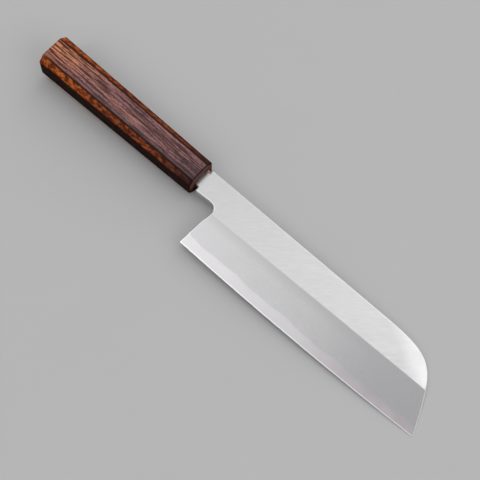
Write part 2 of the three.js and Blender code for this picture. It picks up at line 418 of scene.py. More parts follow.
# %% [markdown]
# ## Closing a sheet into a solid piece
#
# A grid is only a sheet. A Solidify modifier would give it an even thickness, but a blade thins in
# two directions. So the sheet is copied to the height of its underside, turned over, and joined to
# the upper sheet by a wall along every open edge. Where both sheets meet, as along the weld line,
# the wall has no height and the points merge. The same helper makes the iron body and the steel
# layer, so the two fit each other exactly.

# %% Helpers that make a mesh
MERGE_DISTANCE = 2e-7


def merge_close(made):
    """Merges points that fall together and drops the faces that this leaves without an area."""
    bmesh.ops.remove_doubles(made, verts=made.verts, dist=MERGE_DISTANCE)
    bmesh.ops.dissolve_degenerate(made, edges=made.edges, dist=MERGE_DISTANCE)


def closed_piece(grids, top, bottom):
    """A closed mesh between two heights over the plan that the grids cover."""
    made = bmesh.new()
    for grid in grids:
        columns, rows = grid.shape[:2]
        flat = grid.reshape(-1, 2)
        heights = top(flat[:, 0], flat[:, 1])
        corners = [made.verts.new((x, y, z)) for (x, y), z in zip(flat, heights)]
        for column in range(columns - 1):
            for row in range(rows - 1):
                here = column * rows + row
                ring = (here, here + rows, here + rows + 1, here + 1)
                made.faces.new([corners[index] for index in ring])
    merge_close(made)

    upper_faces = list(made.faces)
    open_edges = [edge.link_loops[0] for edge in made.edges if edge.is_boundary]
    walls = [(loop.link_loop_next.vert, loop.vert) for loop in open_edges]
    upper = list(made.verts)
    plan = np.array([vert.co[:2] for vert in upper])
    depths = bottom(plan[:, 0], plan[:, 1])
    lower = {vert: made.verts.new((*vert.co[:2], z)) for vert, z in zip(upper, depths)}
    for face in upper_faces:
        made.faces.new([lower[vert] for vert in reversed(face.verts)])
    for near, far in walls:
        made.faces.new((near, far, lower[far], lower[near]))
    merge_close(made)
    return made


def lofted_piece(rings):
    """A closed mesh through rings of points, with a flat cap on each end."""
    made = bmesh.new()
    corners = [[made.verts.new(point) for point in ring] for ring in rings]
    count = len(rings[0])
    for ring, following in zip(corners, corners[1:]):
        for corner in range(count):
            beside = (corner + 1) % count
            made.faces.new((ring[corner], ring[beside], following[beside], following[corner]))
    made.faces.new(reversed(corners[0]))
    made.faces.new(corners[-1])
    bmesh.ops.recalc_face_normals(made, faces=made.faces)
    return made


print("points closer than", MERGE_DISTANCE / MM, "mm merge")

# %% Helpers that make, join and cut pieces
SHARP_ANGLE = math.radians(40)


def to_object(name, made):
    """An object in the knife's axes from a working mesh."""
    mesh = bpy.data.meshes.new(name)
    made.to_mesh(mesh)
    made.free()
    piece = bpy.data.objects.new(name, mesh)
    piece.matrix_world = knife_axes
    bpy.context.scene.collection.objects.link(piece)
    return piece


def combine(piece, other, operation):
    """Joins another object to a piece, or cuts it out, and removes that other object."""
    step = piece.modifiers.new("combine", "BOOLEAN")
    step.operation = operation
    step.solver = "MANIFOLD"
    step.object = other
    bpy.context.view_layer.update()
    result = bpy.data.meshes.new_from_object(piece.evaluated_get(bpy.context.evaluated_depsgraph_get()))
    piece.modifiers.clear()
    piece.data = result
    bpy.data.objects.remove(other)


def smooth(piece):
    """Smooth shading, with the corners that are meant to be sharp kept sharp."""
    piece.data.shade_smooth()
    piece.data.set_sharp_from_angle(angle=SHARP_ANGLE)


print("corners over", round(math.degrees(SHARP_ANGLE)), "degrees stay sharp")


# %% Helpers that mark and measure pieces
def mark(piece, name, values):
    """A named value on each point of the mesh, for a finish to read."""
    layer = piece.data.attributes.new(name, "FLOAT", "POINT")
    layer.data.foreach_set("value", np.asarray(values, dtype=np.float32))


def points_of(piece, kind="co"):
    """The places of a mesh's points or, with "normal", the way that each one faces."""
    values = np.empty(3 * len(piece.data.vertices))
    piece.data.vertices.foreach_get(kind, values)
    return values.reshape(-1, 3)


def report(piece):
    """Prints a piece's faces, open edges and volume, which is below 0 if it is inside out."""
    made = bmesh.new()
    made.from_mesh(piece.data)
    loose = sum(1 for edge in made.edges if not edge.is_manifold)
    volume = made.calc_volume(signed=True) / MM ** 3
    print(piece.name, len(made.faces), "faces,", loose, "open edges,", round(volume), "cubic mm")
    made.free()


print("helpers for marks and reports are ready")

# %% [markdown]
# ## Iron body and tang
#
# The soft iron is everything above the weld, the whole neck, and the tang that runs into the
# handle. On the real knife it is one forging, so the tang is joined to it by a Boolean instead of
# being left as a loose bar. The tang is narrower than the neck, which leaves the two small steps at
# the shoulders.

# %% Tang
WOOD_BEHIND_BORE = 21.5 * MM
BORE_BEHIND_TANG = 10.8 * MM
TANG_TAIL = HANDLE_BUTT + WOOD_BEHIND_BORE + BORE_BEHIND_TANG
TANG_ROOT = 1.5 * MM
TANG_TAIL_HEIGHT = 6 * MM
TANG_TAIL_THICKNESS = 2.2 * MM
TANG_THINNING = 0.4 * MM
TANG_EASING = 0.35 * MM
TANG_BLEND = 4 * MM
FLUSH = 0.01 * MM
TANG_RINGS = 10
BLEND_RINGS = 6


def tang_top(x):
    return mix(SPINE_Y - STEP_AT_SPINE, TANG_TAIL_HEIGHT / 2, x / TANG_TAIL)


def tang_bottom(x):
    return mix(NECK_Y + STEP_AT_EDGE, -TANG_TAIL_HEIGHT / 2, x / TANG_TAIL)


def tang_half(x):
    return mix(SPINE_THICKNESS_AT_NECK - TANG_THINNING, TANG_TAIL_THICKNESS, x / TANG_TAIL) / 2


def blended_half(x):
    """Half the tang's thickness: it thins inside the handle and is level with the neck outside."""
    share = np.clip((x - HANDLE_FRONT) / TANG_BLEND + 1, 0, 1)
    return mix(tang_half(x), SPINE_THICKNESS_AT_NECK / 2 - FLUSH, share ** 2 * (3 - 2 * share))


def eased_ring(x, low, high, half, easing):
    """A rectangle across X with its four corners cut off by an easing."""
    upper = [(high - easing, -half), (high, easing - half), (high, half - easing), (high - easing, half)]
    lower = [(low + easing, half), (low, half - easing), (low, easing - half), (low + easing, -half)]
    return [(x, y, z) for y, z in upper + lower]


def tang_rings(grow=0.0):
    """Rectangles along the tang, with every side moved out by a growth."""
    blend_from = HANDLE_FRONT - TANG_BLEND
    hidden = np.linspace(TANG_TAIL - grow, blend_from, TANG_RINGS)
    blended = np.linspace(blend_from, HANDLE_FRONT, BLEND_RINGS)[1:]
    return [
        eased_ring(x, tang_bottom(x) - grow, tang_top(x) + grow, blended_half(x) + grow, TANG_EASING)
        for x in [*hidden, *blended, 0, TANG_ROOT]
    ]


print("tang", round(-TANG_TAIL / MM, 1), "mm long from the shoulders")


# %% Iron body
def under_iron(x, y):
    return np.where(x < STEEL_FROM_SHOULDER - WELD_LINE / 2, BACK_Z, weld_z(x))


iron = to_object("blade_iron", closed_piece([flat_grid, above_grid], eased_z, under_iron))
combine(iron, to_object("tang_bar", lofted_piece(tang_rings())), "UNION")
smooth(iron)
report(iron)

# %% [markdown]
# ## Steel layer with a hollow back
#
# The hard steel lies under the iron and comes out along the edge. Its back is dished by grinding,
# so that only a narrow flat rim touches the stone. The dish is a parabola in the distance from the
# outline, which gives the sharp line where dish and rim meet on the real blade. The layer could be
# cut off the iron by a Boolean, but over the same grid the two meet at the weld without a gap.

# %% Steel layer
HOLLOW_DEPTH = 0.3 * MM
HOLLOW_INSET = 1.8 * MM
HOLLOW_INSET_AT_HEEL = 4 * MM
HOLLOW_REACH = 20 * MM


def steel_top(x, y):
    return np.minimum(weld_z(x), eased_z(x, y))


def steel_back(x, y):
    from_rim = distance_to((lower_rim, upper_rim, edge_rail), x, y) - HOLLOW_INSET
    from_heel = x - heel_x(y) - HOLLOW_INSET_AT_HEEL
    share = np.clip(np.minimum(from_rim, from_heel) / HOLLOW_REACH, 0, 1)
    return BACK_Z + HOLLOW_DEPTH * (1 - (1 - share) ** 2)


first_steel_column = np.flatnonzero(flat_columns >= steel_marks[1] - MERGE_DISTANCE)[0]
steel_grids = [flat_grid[first_steel_column:], above_grid, band_grid]
steel = to_object("blade_steel", closed_piece(steel_grids, steel_top, steel_back))
smooth(steel)
report(steel)

# %% [markdown]
# ## Marks on the blade
#
# The finishes change at the ridge and at the weld, and a painted highlight runs along the rim. Image
# masks would need a layout, and bump alone can't know where these lines run, so each point of the
# mesh carries three numbers: how far it has fallen from the ridge, how high it is above the weld,
# and how close it is to the rim.

# %% Marks for the finishes
RIM_WIDTH = 1.1 * MM


def ramp(values, start, end):
    """0 at start, 1 at end and straight between them."""
    return np.clip((values - start) / (end - start), 0, 1)


def mark_blade(piece):
    x, y = points_of(piece)[:, :2].T
    ridge, edge = ridge_y(x), edge_y(x)
    fall = np.where(y < ridge, (ridge - y) / (ridge - edge), (ridge - y) / (SPINE_Y - ridge))
    mark(piece, "fall", np.clip(fall, -1, 1))
    mark(piece, "above_weld", (face_z(x, y) - weld_z(x)) / MM)
    from_rim = distance_to((lower_rim, upper_rim, edge_rail), x, y)
    mark(piece, "rim", ramp(from_rim, RIM_WIDTH, 0))


for blade_piece in (iron, steel):
    mark_blade(blade_piece)
print("marked", iron.name, "and", steel.name)

# %% [markdown]
# ## Handle
#
# The handle is one tapered octagon of oak, wider than it is thick, with a small chamfer round the
# front and a rounded butt. Its eight long corners are eased by a plane. A bevel modifier would do
# that too, but rings of points make it easy to mark the corners, where the scorched colour has
# gathered into thin dark lines. The bore and the slot for the tang are cut out afterwards.

# %% Handle block
FRONT_WIDTH, BUTT_WIDTH = 21.1 * MM, 24.3 * MM
FRONT_THICKNESS, BUTT_THICKNESS = 17.8 * MM, 22.2 * MM
FRONT_FACET, BUTT_FACET = 3.5 * MM, 4.3 * MM
FRONT_CHAMFER = 0.8 * MM
BUTT_ROUNDING = 1.4 * MM
CORNER_EASING = 0.28 * MM
RIM_STATION = HANDLE_FRONT - FRONT_CHAMFER
LONG_FACETS_FROM = HANDLE_BUTT + 1.6 * BUTT_ROUNDING
LONG_FACET_RINGS = 20
BUTT_RINGS = 9

# Reach of the dark lines along the corners and along the front rim
CORNER_LINE = 1.3 * MM
RIM_LINE = 0.95 * MM


def handle_corners(x, inset):
    """The eight corners of the octagon at a place along X, each side moved in by an inset."""
    share = (HANDLE_FRONT - x) / HANDLE_LENGTH
    half_width = mix(FRONT_WIDTH, BUTT_WIDTH, share) / 2 - inset
    half_thickness = mix(FRONT_THICKNESS, BUTT_THICKNESS, share) / 2 - inset
    facet = mix(FRONT_FACET, BUTT_FACET, share) - inset * (2 - math.sqrt(2))
    quarter = [(half_width, half_thickness - facet), (half_width - facet, half_thickness)]
    upper = quarter + [(-y, z) for y, z in reversed(quarter)]
    return np.array(upper + [(-y, -z) for y, z in upper])


def handle_ring(x, inset):
    """The octagon with eased corners: five points for each, of which three lie on the easing."""
    corners = handle_corners(x, inset)
    ring = []
    for corner, before, after in zip(corners, np.roll(corners, 1, axis=0), np.roll(corners, -1, axis=0)):
        back, on = unit(before - corner), unit(after - corner)
        ring += [
            corner + CORNER_LINE * back,
            corner + CORNER_EASING * back,
            corner + CORNER_EASING * (back + on) / 4,
            corner + CORNER_EASING * on,
            corner + CORNER_LINE * on,
        ]
    return [(x, y, z) for y, z in ring]


butt_turns = np.radians(np.linspace(90, 0, BUTT_RINGS))
handle_stations = [
    (HANDLE_BUTT, 2 * BUTT_ROUNDING),
    *[(HANDLE_BUTT + BUTT_ROUNDING * (1 - math.sin(turn)), BUTT_ROUNDING * (1 - math.cos(turn)))
      for turn in butt_turns],
    *[(x, 0) for x in np.linspace(LONG_FACETS_FROM, RIM_STATION - RIM_LINE, LONG_FACET_RINGS)],
    (RIM_STATION - CORNER_EASING / 2, 0),
    (RIM_STATION + CORNER_EASING / 3, CORNER_EASING / 2),
    (HANDLE_FRONT - CORNER_EASING / 2, FRONT_CHAMFER - CORNER_EASING / 2),
    (HANDLE_FRONT, FRONT_CHAMFER + CORNER_EASING / 4),
    (HANDLE_FRONT, 2 * FRONT_CHAMFER),
]
handle = to_object("handle_oak", lofted_piece([handle_ring(x, inset) for x, inset in handle_stations]))
report(handle)

# %% [markdown]
# ## Bore, wedge and bedding
#
# The tang sits in a round bore with a slot, held by a softwood wedge on its spine side and by dark
# resin poured round it. Almost all of that is hidden and could be left out of a picture, but the
# mouth of the bore shows from the front, and the pieces may be taken apart. Tapered bars and a
# round plug make the cutters and the fillings, so that every filling has the shape of its hole.

# %% Cut the handle
BORE_RADIUS = 4.5 * MM
BORE_END = HANDLE_BUTT + WOOD_BEHIND_BORE
BORE_PAST_FRONT = 2 * MM
FIT = 0.3 * MM
WEDGE_PROUD = 1.4 * MM
WEDGE_LENGTH = 17.4 * MM
WEDGE_HEAD = HANDLE_FRONT + WEDGE_PROUD
WEDGE_TOE = WEDGE_HEAD - WEDGE_LENGTH
WEDGE_HEIGHT_AT_HEAD = 0.9 * MM
WEDGE_HEIGHT_AT_TOE = 0.5 * MM
WEDGE_EASING = 0.2 * MM
SNUG = 0.02 * MM
ROUND_POINTS = 48
BAR_RINGS = 3


def round_rings(radius, start, end):
    """Circles across X, for a round bar along the handle's axis."""
    turns = np.linspace(0, 2 * math.pi, ROUND_POINTS, endpoint=False)
    circle = [(radius * math.cos(turn), radius * math.sin(turn)) for turn in turns]
    return [[(x, y, z) for y, z in circle] for x in np.linspace(start, end, BAR_RINGS)]


def wedge_ring(x, grow=0.0):
    low = tang_top(x) + SNUG
    share = (WEDGE_HEAD - x) / (WEDGE_HEAD - WEDGE_TOE)
    high = tang_top(x) + FIT + mix(WEDGE_HEIGHT_AT_HEAD, WEDGE_HEIGHT_AT_TOE, share)
    return eased_ring(x, low - grow, high + grow, tang_half(x) + grow, WEDGE_EASING)


def wedge_room():
    stations = np.linspace(WEDGE_TOE - FIT, WEDGE_HEAD + FIT, BAR_RINGS)
    return to_object("wedge_room", lofted_piece([wedge_ring(x, SNUG) for x in stations]))


bore_rings = round_rings(BORE_RADIUS, BORE_END, HANDLE_FRONT + BORE_PAST_FRONT)
combine(handle, to_object("bore", lofted_piece(bore_rings)), "DIFFERENCE")
combine(handle, to_object("tang_room", lofted_piece(tang_rings(FIT))), "DIFFERENCE")
combine(handle, wedge_room(), "DIFFERENCE")
smooth(handle)
report(handle)

# %% Bedding
BEDDING_RECESS = 0.12 * MM
SLOT_RINGS = 8

bedding_end = HANDLE_FRONT - BEDDING_RECESS
plug_rings = round_rings(BORE_RADIUS - SNUG, BORE_END + FIT, bedding_end)
bedding = to_object("tang_bedding_resin", lofted_piece(plug_rings))
slack = FIT - SNUG
slot_rings = [
    eased_ring(x, tang_bottom(x) - slack, tang_top(x) + slack, tang_half(x) + slack, TANG_EASING)
    for x in np.linspace(TANG_TAIL, bedding_end, SLOT_RINGS)
]
combine(bedding, to_object("slot_filling", lofted_piece(slot_rings)), "UNION")
combine(bedding, to_object("tang_space", lofted_piece(tang_rings(SNUG / 2))), "DIFFERENCE")
combine(bedding, wedge_room(), "DIFFERENCE")
smooth(bedding)
report(bedding)

# %% Wedge
CRUSHED_HEAD = 0.15 * MM
WEDGE_RINGS = 14

wedge_x = np.linspace(WEDGE_TOE, WEDGE_HEAD - CRUSHED_HEAD, WEDGE_RINGS)
wedge_rings = [wedge_ring(x) for x in wedge_x]
wedge_rings.append(wedge_ring(WEDGE_HEAD - CRUSHED_HEAD / 3, -CRUSHED_HEAD / 4))
wedge_rings.append(wedge_ring(WEDGE_HEAD, -CRUSHED_HEAD))
wedge = to_object("tang_wedge_softwood", lofted_piece(wedge_rings))
smooth(wedge)
report(wedge)

# %% [markdown]
# ## Marks on the handle
#
# The scorched and lacquered oak has thin dark lines along its corners and round the front rim. It is
# paler on the broad facets than on the narrow ones, and different again on the two ends, and painted
# shade makes the two sides darkest. A painted mask could say where each colour goes, but all of
# this follows the shape, so it is measured from the mesh: the distance to the nearest corner and to
# the rim, and the way that each point faces.

# %% Marks for the oak
CORNER_LINE_FADE = 4 * BUTT_ROUNDING
SMALLEST_FACING = 0.01

# How squarely a point faces a way where its mark is 0, and where it is 1. The ways are up or down,
# sideways, forward and back.
NARROW_FACING = (0.95, 0.8)
SIDE_FACING = (0.8, 0.95)
FRONT_FACING = (0.5, 0.9)
BUTT_FACING = (0.85, 0.97)

handle_points = points_of(handle)
handle_normals = points_of(handle, "normal")
handle_x = handle_points[:, 0]


def corner_mark(point):
    """1 on an eased long corner, 0 or less beyond the dark line along it."""
    x, place = point[0], point[1:]
    nearest = np.linalg.norm(handle_corners(x, 0) - place, axis=1).min()
    return 1 - (nearest - CORNER_EASING) / (CORNER_LINE - CORNER_EASING)


from_butt = ramp(handle_x, HANDLE_BUTT, HANDLE_BUTT + CORNER_LINE_FADE)
corner_marks = from_butt * np.array([corner_mark(point) for point in handle_points])
rim_marks = 1 - (np.abs(handle_x - RIM_STATION) - CORNER_EASING) / (RIM_LINE - CORNER_EASING)
mark(handle, "corner_line", np.clip(np.maximum(corner_marks, rim_marks), 0, 1))
facing = np.abs(handle_normals[:, 1:])
facing = facing / np.maximum(np.linalg.norm(facing, axis=1, keepdims=True), SMALLEST_FACING)
mark(handle, "narrow_facet", ramp(facing[:, 1], *NARROW_FACING))
mark(handle, "side_facet", ramp(facing[:, 0], *SIDE_FACING))
mark(handle, "front_end", ramp(handle_normals[:, 0], *FRONT_FACING))
mark(handle, "butt_end", ramp(-handle_normals[:, 0], *BUTT_FACING))
print("marked", handle.name)

# %% [markdown]
# ## Building finishes from nodes
#
# Every finish is a tree of nodes. Short helpers keep the trees readable: they add a node and fill its
# sockets, do one step of arithmetic, fade a value from one range to another, blend two colours and
# draw out a noise. Effects that several finishes share are node groups, made once and placed with
# their own values.

# %% Helpers that add nodes
MIX_SHARE, MIX_FIRST, MIX_SECOND = 0, 6, 7
MIXED_COLOUR = 2


def fill(tree, socket, value):
    """Links an output to a socket, or sets a plain value on it."""
    if isinstance(value, bpy.types.NodeSocket):
        tree.links.new(value, socket)
    else:
        socket.default_value = value


def give(tree, node, **inputs):
    """Fills a node's sockets; an input's name has underscores where the socket's name has spaces."""
    for name, value in inputs.items():
        fill(tree, node.inputs[name.replace("_", " ")], value)


def add(tree, kind, settings=None, **inputs):
    """Adds a node with its settings and its inputs."""
    made = tree.nodes.new(kind)
    for name, value in (settings or {}).items():
        setattr(made, name, value)
    give(tree, made, **inputs)
    return made


def calc(tree, operation, *values):
    """One step of arithmetic on up to three values."""
    made = add(tree, "ShaderNodeMath", {"operation": operation})
    for socket, value in zip(made.inputs, values):
        fill(tree, socket, value)
    return made.outputs[0]


def fade(tree, value, low, high, start=0.0, end=1.0):
    """A smooth step from start to end while the value goes from low to high."""
    made = add(
        tree, "ShaderNodeMapRange", {"interpolation_type": "SMOOTHSTEP"},
        Value=value, From_Min=low, From_Max=high, To_Min=start, To_Max=end,
    )
    return made.outputs["Result"]


def blend(tree, share, first, second):
    """Mixes two colours by a share."""
    made = add(tree, "ShaderNodeMix", {"data_type": "RGBA"})
    for socket, value in ((MIX_SHARE, share), (MIX_FIRST, first), (MIX_SECOND, second)):
        fill(tree, made.inputs[socket], value)
    return made.outputs[MIXED_COLOUR]


print("helpers that add nodes are ready")


# %% Helpers for patterns
def own_place(tree):
    """Places along the object's own axes, in metres. For a piece they are the knife's axes."""
    return add(tree, "ShaderNodeTexCoord").outputs["Object"]


def read_mark(tree, name):
    return add(tree, "ShaderNodeAttribute", {"attribute_name": name}).outputs["Fac"]


def stretched(tree, place, along, wide, deep):
    """A place divided by three lengths, so that a pattern is drawn out along the longest."""
    sizes = add(tree, "ShaderNodeCombineXYZ", X=along, Y=wide, Z=deep).outputs[0]
    made = add(tree, "ShaderNodeVectorMath", {"operation": "DIVIDE"})
    fill(tree, made.inputs[0], place)
    fill(tree, made.inputs[1], sizes)
    return made.outputs[0]


def noise(tree, place, detail, roughness):
    made = add(tree, "ShaderNodeTexNoise", Vector=place, Scale=1.0, Detail=detail, Roughness=roughness)
    return made.outputs["Fac"]


def bump(tree, height, strength, distance):
    made = add(tree, "ShaderNodeBump", Height=height, Strength=strength, Distance=distance)
    return made.outputs["Normal"]


print("helpers for patterns are ready")


# %% Helpers for groups and finishes
def new_group(name, inputs, outputs):
    """A node group with named sockets: gives the group, what goes in and what comes out."""
    group = bpy.data.node_groups.new(name, "ShaderNodeTree")
    for way, sockets in (("INPUT", inputs), ("OUTPUT", outputs)):
        for socket, kind in sockets.items():
            group.interface.new_socket(name=socket, in_out=way, socket_type="NodeSocket" + kind)
    given = group.nodes.new("NodeGroupInput").outputs
    end = group.nodes.new("NodeGroupOutput").inputs
    return group, given, end


def place_group(tree, group, **inputs):
    return add(tree, "ShaderNodeGroup", {"node_tree": group}, **inputs).outputs


def new_finish(name):
    """A material with a Principled shader: gives the material, its tree and its shader."""
    finish = bpy.data.materials.new(name)
    finish.use_nodes = True
    tree = finish.node_tree
    return finish, tree, tree.nodes["Principled BSDF"]


print("helpers for groups and finishes are ready")

# %% [markdown]
# ## Shared effects of the blade
#
# The flat was ground on a belt, which leaves fine parallel scratches that slant across it. The
# bevel was rubbed on stones, which leaves a soft haze with faint clouds. Scratches are a noise
# drawn out in one direction, and haze is a broad noise beside a fine speckle. Both metals carry
# both marks, in different sizes, so each effect is a group. The resin and the floor use the haze.
# Pictures of ground metal could do this too, but noise in space needs no layout and has no seams.

# %% Scratches and haze
SCRATCH_RANGE = (0.28, 0.72)
HAZE_RANGE = (0.25, 0.75)

# Size, output, detail and roughness of the two noises in the haze
HAZE_NOISES = (
    ("Cloud Size", "Clouds", 2.5, 0.5),
    ("Speckle Size", "Speckle", 2.0, 0.6),
)

scratches, given, end = new_group(
    "fine_scratches",
    {"Place": "Vector", "Slant": "Float", "Length": "Float", "Spacing": "Float"},
    {"Scratches": "Float"},
)
turned = add(
    scratches, "ShaderNodeVectorRotate", {"rotation_type": "Z_AXIS"},
    Vector=given["Place"], Angle=given["Slant"],
).outputs[0]
drawn_out = stretched(scratches, turned, given["Length"], given["Spacing"], given["Spacing"])
lines = noise(scratches, drawn_out, detail=4.0, roughness=0.6)
fill(scratches, end["Scratches"], fade(scratches, lines, *SCRATCH_RANGE))

haze, given, end = new_group(
    "stone_haze",
    {"Place": "Vector", "Cloud Size": "Float", "Speckle Size": "Float"},
    {"Clouds": "Float", "Speckle": "Float"},
)
for size, output, detail, roughness in HAZE_NOISES:
    sized = stretched(haze, given["Place"], given[size], given[size], given[size])
    fill(haze, end[output], fade(haze, noise(haze, sized, detail, roughness), *HAZE_RANGE))
print("groups", scratches.name, haze.name)

# %% [markdown]
# ## Soft iron
#
# One metal with two finishes. The ground flat is bright, with slanting scratches, and a painted
# highlight brightens it near the tip. The bevel is a matte grey haze with fine dark pits, and painted
# shade darkens it right under the ridge and towards the tip. Two materials could meet at the ridge,
# but the painted highlight along the rim runs round both, so one tree changes its finish by the mark
# that says how far a point has fallen from the ridge.

# %% Greys of the iron
FLAT_GREY = (0.568, 0.568, 0.574, 1)
FLAT_GREY_IN_SCRATCH = (0.519, 0.517, 0.524, 1)
# Painted highlight: the flat's grey brightened near the tip
FLAT_HIGHLIGHT_AT_TIP = (0.728, 0.728, 0.728, 1)
HAZE_GREY = (0.522, 0.522, 0.53, 1)
HAZE_GREY_CLOUD = (0.54, 0.54, 0.548, 1)
# Painted shade: the bevel's grey darkened towards the tip
BEVEL_SHADE_AT_TIP = (0.442, 0.438, 0.45, 1)
# Painted shade in a strip right under the ridge
UNDER_RIDGE_SHADE = (0.466, 0.466, 0.473, 1)
PIT_GREY = (0.336, 0.336, 0.34, 1)
# Painted highlight along the eased rim and the edge
RIM_HIGHLIGHT = (0.76, 0.76, 0.764, 1)
print("flat", FLAT_GREY[:3], "bevel", HAZE_GREY[:3])

# %% Iron finish
GRIND_SLANT = math.radians(-41)
# Range of the rim mark over which the painted highlight fades in
RIM_HIGHLIGHT_RANGE = (0.4, 0.75)

# Shares of the fall from ridge to edge: the change of finish and the strip of painted shade under the ridge
RIDGE_RANGE = (0.0, 0.012)
UNDER_RIDGE_SHADE_RANGE = (0.0, 0.3)

# Slant, range and clouding of the painted highlight on the flat near the tip
TIP_HIGHLIGHT_SLANT = 1.5
TIP_HIGHLIGHT_RANGE = (149 * MM, 174 * MM)
# Range along the blade of the painted shade towards the tip, also used for the weld's reach
TOWARD_TIP_RANGE = (95 * MM, 160 * MM)
HIGHLIGHT_CLOUD_RANGE = (0.0, 0.8)
HIGHLIGHT_IN_CLOUDS = (0.7, 1.0)
PIT_SHARE = 0.2
PIT_RELIEF = 0.5
FLAT_ROUGHNESS = (0.32, 0.28)
BEVEL_ROUGHNESS = (0.38, 0.34)

iron_finish, tree, shader = new_finish("ground_iron")
place = own_place(tree)
x, y = add(tree, "ShaderNodeSeparateXYZ", Vector=place).outputs[:2]
fall = read_mark(tree, "fall")
on_bevel = fade(tree, fall, *RIDGE_RANGE)
ground = place_group(tree, scratches, Place=place, Slant=GRIND_SLANT, Length=8 * MM, Spacing=0.55 * MM)
grind = ground["Scratches"]
hazed = place_group(tree, haze, Place=place, Cloud_Size=11 * MM, Speckle_Size=1.1 * MM)

flat_colour = blend(tree, grind, FLAT_GREY_IN_SCRATCH, FLAT_GREY)
# Painted highlight that brightens the flat towards the tip, broken up by the clouds
tip_highlight = fade(tree, calc(tree, "MULTIPLY_ADD", y, TIP_HIGHLIGHT_SLANT, x), *TIP_HIGHLIGHT_RANGE)
clouded = fade(tree, hazed["Clouds"], *HIGHLIGHT_CLOUD_RANGE, *HIGHLIGHT_IN_CLOUDS)
flat_colour = blend(tree, calc(tree, "MULTIPLY", tip_highlight, clouded), flat_colour, FLAT_HIGHLIGHT_AT_TIP)

bevel_colour = blend(tree, hazed["Clouds"], HAZE_GREY, HAZE_GREY_CLOUD)
# Painted shade in a strip right under the ridge
bevel_colour = blend(tree, fade(tree, fall, *UNDER_RIDGE_SHADE_RANGE, 1.0, 0.0), bevel_colour, UNDER_RIDGE_SHADE)
# Painted shade that darkens the bevel towards the tip
bevel_colour = blend(tree, fade(tree, x, *TOWARD_TIP_RANGE), bevel_colour, BEVEL_SHADE_AT_TIP)
bevel_colour = blend(tree, calc(tree, "MULTIPLY", hazed["Speckle"], PIT_SHARE), bevel_colour, PIT_GREY)

colour = blend(tree, on_bevel, flat_colour, bevel_colour)
# Painted highlight along the eased rim
colour = blend(tree, fade(tree, read_mark(tree, "rim"), *RIM_HIGHLIGHT_RANGE), colour, RIM_HIGHLIGHT)
flat_roughness = fade(tree, grind, 0.0, 1.0, *FLAT_ROUGHNESS)
bevel_roughness = fade(tree, hazed["Speckle"], 0.0, 1.0, *BEVEL_ROUGHNESS)
difference = calc(tree, "SUBTRACT", bevel_roughness, flat_roughness)
roughness = calc(tree, "MULTIPLY_ADD", on_bevel, difference, flat_roughness)
pit_height = calc(tree, "MULTIPLY", on_bevel, PIT_RELIEF)
relief = calc(tree, "MULTIPLY_ADD", hazed["Speckle"], pit_height, grind)
normal = bump(tree, relief, strength=0.05, distance=0.02 * MM)
give(tree, shader, Base_Color=colour, Roughness=roughness, Metallic=1, Normal=normal)
print("finish", iron_finish.name)

# %% [markdown]
# ## Hard steel
#
# The steel looks faintly warmer than the iron, most of all towards the tip. Along the weld the two
# metals have crept into each other, so the steel fades to the iron's grey, with its painted shade
# towards the tip, over less than a millimetre at the heel and about three at the tip. A hard line
# would be simpler, but it would look like two plates laid side by side. Scratches from sharpening
# run along the edge, and the last half millimetre carries a painted highlight, like the rim.

# %% Steel finish
STEEL_PALE = (0.58, 0.566, 0.58, 1)
STEEL_ROSY = (0.49, 0.446, 0.472, 1)
STEEL_CLOUD = (0.616, 0.6, 0.612, 1)
STEEL_CLOUD_SHARE = 0.3
ROSY_RANGE = (100 * MM, 148 * MM)
# Range of the fall over which the painted highlight along the edge fades in
EDGE_HIGHLIGHT_RANGE = (0.968, 0.985)
STEEL_ROUGHNESS = (0.36, 0.32)

# Height under the weld, in mm, over which the steel fades to the iron's grey: at the heel, at the tip
WELD_REACH = (0.1, 0.3)
WELD_SHARE = 0.9

steel_finish, tree, shader = new_finish("stoned_steel")
place = own_place(tree)
x = add(tree, "ShaderNodeSeparateXYZ", Vector=place).outputs["X"]
hone = place_group(tree, scratches, Place=place, Slant=0.0, Length=18 * MM, Spacing=0.5 * MM)["Scratches"]
hazed = place_group(tree, haze, Place=place, Cloud_Size=9 * MM, Speckle_Size=0.6 * MM)
colour = blend(tree, fade(tree, x, *ROSY_RANGE), STEEL_PALE, STEEL_ROSY)
colour = blend(tree, calc(tree, "MULTIPLY", hazed["Clouds"], STEEL_CLOUD_SHARE), colour, STEEL_CLOUD)

# The iron's grey that the steel fades to carries the same painted shade towards the tip
iron_grey = blend(tree, fade(tree, x, *TOWARD_TIP_RANGE), HAZE_GREY_CLOUD, BEVEL_SHADE_AT_TIP)
weld_reach = fade(tree, x, *TOWARD_TIP_RANGE, *WELD_REACH)
below_weld = calc(tree, "DIVIDE", read_mark(tree, "above_weld"), weld_reach)
near_weld = calc(tree, "MULTIPLY", fade(tree, below_weld, -1.0, 0.0), WELD_SHARE)
colour = blend(tree, near_weld, colour, iron_grey)

# Painted highlight along the last of the edge and round the rim
edge_highlight = fade(tree, read_mark(tree, "fall"), *EDGE_HIGHLIGHT_RANGE)
rim = calc(tree, "MAXIMUM", edge_highlight, fade(tree, read_mark(tree, "rim"), *RIM_HIGHLIGHT_RANGE))
colour = blend(tree, rim, colour, RIM_HIGHLIGHT)
roughness = fade(tree, hone, 0.0, 1.0, *STEEL_ROUGHNESS)
normal = bump(tree, hone, strength=0.04, distance=0.02 * MM)
give(tree, shader, Base_Color=colour, Roughness=roughness, Metallic=1, Normal=normal)
print("finish", steel_finish.name)

